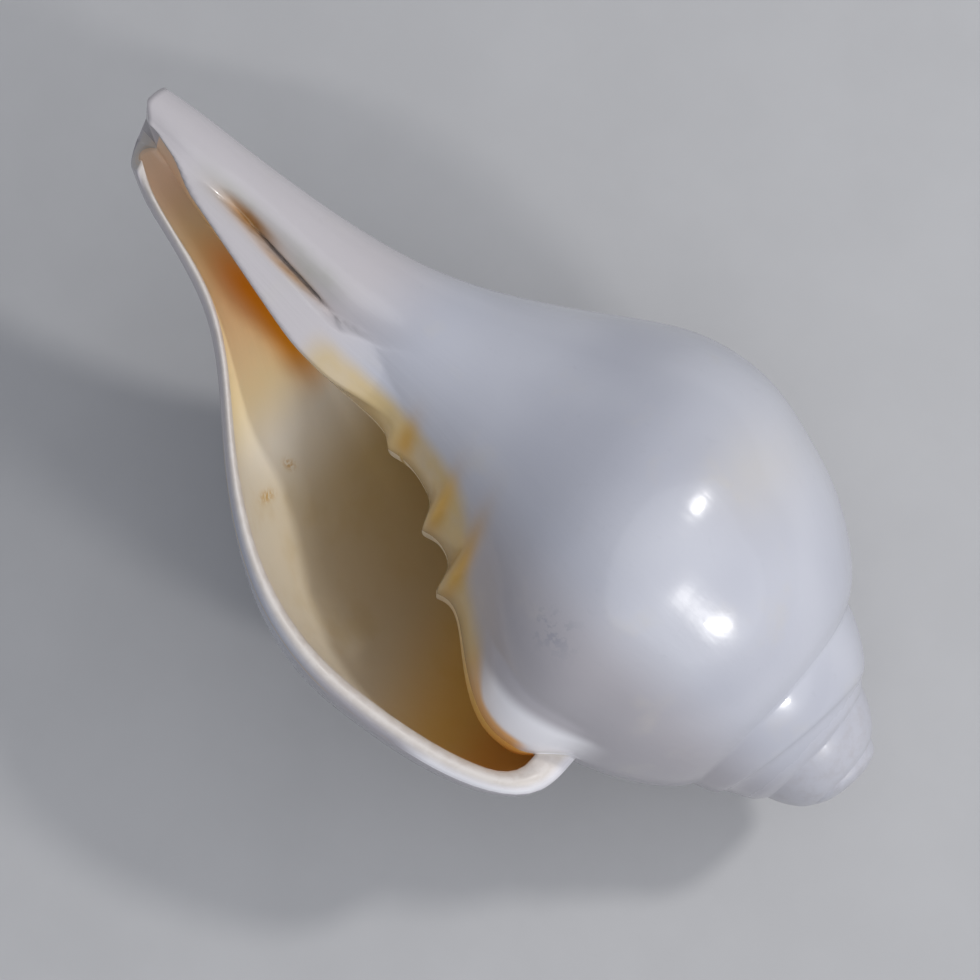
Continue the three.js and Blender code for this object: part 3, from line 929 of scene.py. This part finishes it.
def pillar_colour(net, look, at, tone):
    """The ochre edge with the folds' deeper roots, painted shade in the hollow beside the strip, and the
    stain in its pit and slit.
    """
    high = at.z.step(*BAND_HIGH)
    start = blend(blend(*BAND_EDGE, at.z.step(*BAND_HEIGHTS)), BAND_HIGH_EDGE, high)
    band = ((at.depth - start) / blend(*BAND_SOFT, high)).smooth() * at.outer
    band = band * at.row.step(*BAND_ROWS) * at.z.step(*BAND_LOW)
    band_tone = net.mix(high, colour(look.ochre), colour(look.inner_turn))
    tone = net.mix(band * (0.75 + 0.25 * at.cloud.step(0.35, 0.65)), tone, band_tone)

    level = at.z - ROOT_SLOPE * at.x
    roots = sum(level.bump(height, reach) for height, reach in ROOTS).clamp()
    roots = roots * at.depth.bump(ROOT_DEPTH, ROOT_REACH) * at.outer
    tone = net.mix((roots * 0.85).clamp(), tone, colour(look.ochre_deep))

    # Painted shade, greenish grey, in the hollow beside the strip
    hollow_shade = at.z.step(*HOLLOW_SHADE_LOW) * at.z.fade(*HOLLOW_SHADE_HIGH) * at.x.bump(HOLLOW_SHADE_PLACE, HOLLOW_SHADE_WIDTH)
    hollow_shade = hollow_shade * at.outer * at.depth.step(*STRIP_DEPTHS)
    tone = net.mix(hollow_shade * (0.3 + 0.4 * at.cloud.step(0.4, 0.65)), tone, colour(look.hollow_shade))
    stain = (at.patch(*PIT_STAIN) + 0.75 * at.patch(*SLIT_STAIN)) * at.outer
    stain = stain.clamp() * at.depth.step(*STAIN_DEPTHS)
    return net.mix(stain * 0.9, tone, colour(look.chink))


def finish_material(look):
    """The polished shell: milky white outside, cream, ochre and tan towards the inside."""
    material = bpy.data.materials.new("polished_shell")
    material.use_nodes = True
    net = Net(material.node_tree)
    at = Place(net)
    tone = rim_colour(net, look, at, skin_colour(net, look, at), lining_colour(net, look, at))
    tone = pillar_colour(net, look, at, tone)
    dull_rim = at.on_rim * (0.12 + 0.2 * at.fine.step(0.35, 0.6))
    roughness = blend(0.2, 0.42, at.inside) + at.worn * 0.15 + at.fine * 0.04 + dull_rim
    across = net.add("ShaderNodeCombineXYZ", None, {"X": at.depth * 60.0, "Y": at.row * 0.6})
    lines = net.add(
        "ShaderNodeTexNoise",
        {"noise_dimensions": "2D"},
        {"Vector": across, "Scale": 1.0, "Detail": 3.0},
    )
    height = lines * 0.5 + at.cloud + at.speck * 0.05
    relief = net.add("ShaderNodeBump", None, {"Strength": 0.12, "Distance": 0.0006, "Height": height})
    shader = net.add(
        "ShaderNodeBsdfPrincipled",
        None,
        {
            "Base Color": tone,
            "Roughness": roughness,
            "Coat Weight": blend(0.35, 0.06, at.inside) * (1.0 - 0.8 * at.on_rim),
            "Coat Roughness": 0.08,
            "IOR": 1.53,
            "Normal": relief,
        },
    )
    net.add("ShaderNodeOutputMaterial", None, {"Surface": shader}, None)
    return material


def measure(name, description, value, **more):
    """A size that the panel shows."""
    return FloatProperty(name=name, description=description, default=value, **more)


def paint(name, description, value):
    """A colour that the panel shows."""
    look = {"subtype": "COLOR", "size": 3, "min": 0, "max": 1}
    return FloatVectorProperty(name=name, description=description, default=value, **look)


class ShellSizes(bpy.types.PropertyGroup):
    growth: measure("Growth", "Size of one turn over the turn before it", GROWTH, min=1.3, max=2.2)
    apex: measure("Apex height", "Height that the coil shrinks towards, in mm", APEX)
    lip_angle: measure("Lip angle", "Where the lip stands round the axis", LIP_ANGLE, subtype="ANGLE")
    lip_wall: measure("Lip wall", "Wall thickness at the lip, in mm", LIP_WALL, min=1.0)
    canal_wall: measure("Canal wall", "Wall thickness along the canal, in mm", CANAL_WALL, min=0.5)
    lip_round: measure("Lip roundness", "How far the rim bulges, in mm", LIP_ROUND)
    fold_height: measure("Fold height", "Height of the pillar's folds, as a factor", FOLD_HEIGHT)
    worn_top: measure("Worn apex", "Height of the worn apex, in mm", WORN_TOP)
    roll: measure("Roll", "How far the lying shell is rolled", math.radians(5), subtype="ANGLE")
    pitch: measure("Pitch", "How far it is tipped along its length", math.radians(13), subtype="ANGLE")
    spot_depth: measure("Flat spot", "Depth of the flat spot it lies on, in mm", 0.75, min=0)
    steps: IntProperty(name="Columns", description="Columns in one turn", default=128, min=32, max=160)


class ShellLook(bpy.types.PropertyGroup):
    outside: paint("Outside", "Milky white of the outside", (0.47, 0.48, 0.545))
    outside_light: paint("Outside, light", "Lighter clouds of the outside", (0.55, 0.56, 0.62))
    # Painted shade on the skin beside the mouth
    mouth_shade: paint("Beside the mouth", "Painted shade on the skin beside the mouth", (0.42, 0.39, 0.41))
    canal: paint("Canal", "Warmer white of the canal", (0.58, 0.535, 0.54))
    cream: paint("Cream", "Faint warm blotches", (0.57, 0.54, 0.50))
    grey: paint("Grey", "Small grey marks", (0.34, 0.34, 0.39))
    worn: paint("Worn", "The worn apex", (0.43, 0.42, 0.45))
    # The callus's own white, partly painted light
    callus: paint("Callus", "Glossy white callus pad by the mouth, lightened by painted light", (0.88, 0.87, 0.91))
    rim: paint("Rim", "Cream white of the lip's rim", (0.61, 0.56, 0.52))
    chalk: paint("Chalk", "Paler patches on the rim", (0.69, 0.65, 0.62))
    peach: paint("Peach", "Thin line along the rim's inner edge", (0.82, 0.60, 0.40))
    lining: paint("Lining", "Inside near the lip", (0.74, 0.67, 0.55))
    # Deeper lining colour, partly painted shade
    lining_deep: paint("Lining, deep", "Deeper inside, darker partly by painted shade", (0.57, 0.42, 0.18))
    # Painted pool of lamp light inside the mouth
    light_pool: paint("Pale", "Painted pool of lamp light in the mouth, towards the canal", (0.96, 0.92, 0.83))
    upper: paint("Upper chamber", "Inside towards the apex", (0.88, 0.58, 0.15))
    gutter: paint("Gutter", "The canal's floor", (0.97, 0.80, 0.44))
    gutter_end: paint("Gutter, end", "Browner floor at the canal's end", (0.78, 0.57, 0.44))
    orange: paint("Orange", "Flame in the canal and the upper corner", (0.94, 0.38, 0.02))
    inner_turn: paint("Inner turn", "The turn before, inside the mouth", (0.83, 0.40, 0.06))
    ochre: paint("Ochre", "The pillar's edge", (0.58, 0.44, 0.22))
    ochre_deep: paint("Ochre, deep", "The roots of the folds", (0.57, 0.32, 0.05))
    # Painted shade in the hollow beside the pillar
    hollow_shade: paint("Hollow", "Painted greenish grey shade in the pillar's hollow", (0.40, 0.40, 0.34))
    chink: paint("Chink", "The pit and slit in the pillar's front", (0.42, 0.20, 0.03))


class StageSizes(bpy.types.PropertyGroup):
    distance: measure("Camera distance", "From the shell's middle", 0.45, unit="LENGTH")
    lens: measure("Lens", "Focal length in mm", 123.5)
    floor: paint("Floor", "Colour of the floor", (0.52, 0.52, 0.53))


def lying_turn(sizes):
    """The turn from the standing shell to the lying one."""
    flat = math.cos(sizes.pitch)
    up = -Vector((math.sin(sizes.roll) * flat, math.cos(sizes.roll) * flat, math.sin(sizes.pitch)))
    ahead = Vector((0, 0, 1)) - up * up.z
    ahead.normalize()
    return Matrix((ahead, up.cross(ahead), up))


class SHELL_OT_grow(bpy.types.Operator):
    """Grow the shell and put it in the place of the plain solid"""

    bl_idname = "shell.grow"
    bl_label = "Grow Shell"

    def execute(self, context):
        sizes, look = context.scene.shell_sizes, context.scene.shell_look
        draft = bpy.data.objects.new("shell_draft", sheet(sizes.growth, sizes.apex, sizes.steps))
        context.scene.collection.objects.link(draft)
        tree = coil_tree(finish_material(look))
        modifier = draft.modifiers.new("Coil", "NODES")
        modifier.node_group = tree
        given = {
            "Growth": sizes.growth,
            "Apex Height": sizes.apex,
            "Lip Angle": sizes.lip_angle,
            "Lip Wall": sizes.lip_wall,
            "Canal Wall": sizes.canal_wall,
            "Lip Roundness": sizes.lip_round,
            "Fold Height": sizes.fold_height,
            "Worn Apex Height": sizes.worn_top,
            "Lying Turn": tuple(lying_turn(sizes).to_euler()),
            "Spot": self.spot(sizes),
        }
        for item in tree.interface.items_tree:
            if item.in_out == "INPUT" and item.name in given:
                modifier[item.identifier] = given[item.name]
        context.view_layer.update()
        grown = draft.evaluated_get(context.evaluated_depsgraph_get())
        mesh = bpy.data.meshes.new_from_object(grown)
        mesh.name = "shell_fine"
        bpy.data.objects.remove(draft)
        if not mesh.polygons:
            raise RuntimeError("the coil gave no faces")
        for name in [a.name for a in mesh.attributes if a.domain == "POINT" and a.name in Growth.FIELDS]:
            mesh.attributes.remove(mesh.attributes[name])
        shell = bpy.data.objects.new("shell_fine", mesh)
        context.scene.collection.objects.link(shell)
        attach(shell, "root")
        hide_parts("shell")
        return {"FINISHED"}

    def spot(self, sizes):
        """Where the middle of the lying shell's underside goes, in metres.

        It is the middle of the CAD's box, lower than the ground by the flat spot's depth.
        """
        low, high = CAD_BOX
        return ((low[0] + high[0]) / 2, (low[1] + high[1]) / 2, -sizes.spot_depth * MM)


class SHELL_OT_stage(bpy.types.Operator):
    """Set the floor, the lights and the camera"""

    bl_idname = "shell.stage"
    bl_label = "Set Stage"

    def execute(self, context):
        scene, sizes, stage = context.scene, context.scene.shell_sizes, context.scene.shell_stage
        shell = bpy.data.objects.get("shell_fine")
        if shell is None:
            raise RuntimeError("grow the shell first")
        turn = lying_turn(sizes)
        first = shell.data.vertices[0]
        standing = Vector(shell.data.attributes["standing"].data[0].vector)
        shift = first.co - turn @ standing

        def lying(point):
            return turn @ (Vector(point) * MM) + shift

        self.floor(scene, stage)
        self.camera(scene, stage, lying, turn)
        self.lights(scene, lying)
        return {"FINISHED"}

    def floor(self, scene, stage):
        half = FLOOR_HALF
        corners = [(-half, -half, 0), (half, -half, 0), (half, half, 0), (-half, half, 0)]
        mesh = bpy.data.meshes.new("floor")
        mesh.from_pydata(corners, [], [(0, 1, 2, 3)])
        floor = bpy.data.objects.new("floor", mesh)
        scene.collection.objects.link(floor)
        material = bpy.data.materials.new("studio_floor")
        material.use_nodes = True
        net = Net(material.node_tree)
        spot = net.add("ShaderNodeTexCoord", output=3)
        grain = net.noise(spot, 40.0, 4.0, 0.6).step(0.3, 0.7)
        tone = net.mix(grain, colour(stage.floor), colour([part * 0.96 for part in stage.floor]))
        sockets = {"Base Color": tone, "Roughness": 0.9, "Specular IOR Level": 0.2}
        shader = net.add("ShaderNodeBsdfPrincipled", None, sockets)
        net.add("ShaderNodeOutputMaterial", None, {"Surface": shader}, None)
        mesh.materials.append(material)

    def camera(self, scene, stage, lying, turn):
        """Looks down on the mouth, with the apex at the lower right as in the photograph."""
        x, y, z = CAMERA_AIM
        reach = stage.distance / MM
        spot = lying((x, y - reach * math.cos(CAMERA_TILT), z - reach * math.sin(CAMERA_TILT)))
        back = (spot - lying(CAMERA_AIM)).normalized()
        side = (turn @ Vector(CAMERA_UP)).cross(back).normalized()
        axes = Matrix((side, back.cross(side), back)).transposed().to_4x4()
        data = bpy.data.cameras.new("camera")
        data.lens = stage.lens
        data.sensor_width = SENSOR
        data.clip_start = 0.01
        camera = bpy.data.objects.new("camera", data)
        camera.matrix_world = Matrix.Translation(spot) @ axes
        scene.collection.objects.link(camera)
        scene.camera = camera

    def lights(self, scene, lying):
        world = bpy.data.worlds.new("studio")
        world.use_nodes = True
        net = Net(world.node_tree)
        glow = net.add("ShaderNodeBackground", None, {"Color": GLOW, "Strength": 0.3})
        net.add("ShaderNodeOutputWorld", None, {"Surface": glow}, None)
        scene.world = world
        scene.view_settings.view_transform = "Standard"
        aim = lying(LAMP_AIM)
        for name, direction, along, width, height, power, tint in LAMPS:
            data = bpy.data.lights.new(name, "AREA")
            data.shape = "ELLIPSE"
            data.size, data.size_y = width, height
            data.energy = power
            data.color = tint
            lamp = bpy.data.objects.new(name, data)
            ahead = Vector(direction).normalized()
            across = ahead.cross(Vector(along)).normalized()
            axes = Matrix((across.cross(ahead), across, ahead)).transposed().to_4x4()
            lamp.matrix_world = Matrix.Translation(aim + ahead * LAMP_DISTANCE) @ axes
            scene.collection.objects.link(lamp)


class SHELL_PT_panel(bpy.types.Panel):
    bl_idname = "SHELL_PT_panel"
    bl_label = "Chank Shell"
    bl_space_type = "VIEW_3D"
    bl_region_type = "UI"
    bl_category = "Shell"

    def draw(self, context):
        for label, group in (("Sizes", "shell_sizes"), ("Colours", "shell_look"), ("Stage", "shell_stage")):
            box = self.layout.box()
            box.label(text=label)
            values = getattr(context.scene, group)
            for name in values.__annotations__:
                box.prop(values, name)
        self.layout.operator("shell.grow")
        self.layout.operator("shell.stage")


CLASSES = (ShellSizes, ShellLook, StageSizes, SHELL_OT_grow, SHELL_OT_stage, SHELL_PT_panel)


def register():
    for kind in CLASSES:
        bpy.utils.register_class(kind)
    bpy.types.Scene.shell_sizes = PointerProperty(type=ShellSizes)
    bpy.types.Scene.shell_look = PointerProperty(type=ShellLook)
    bpy.types.Scene.shell_stage = PointerProperty(type=StageSizes)


def unregister():
    del bpy.types.Scene.shell_stage
    del bpy.types.Scene.shell_look
    del bpy.types.Scene.shell_sizes
    for kind in reversed(CLASSES):
        bpy.utils.unregister_class(kind)


def main():
    register()
    bpy.ops.shell.grow()
    bpy.ops.shell.stage()


if __name__ == "__main__":
    main()
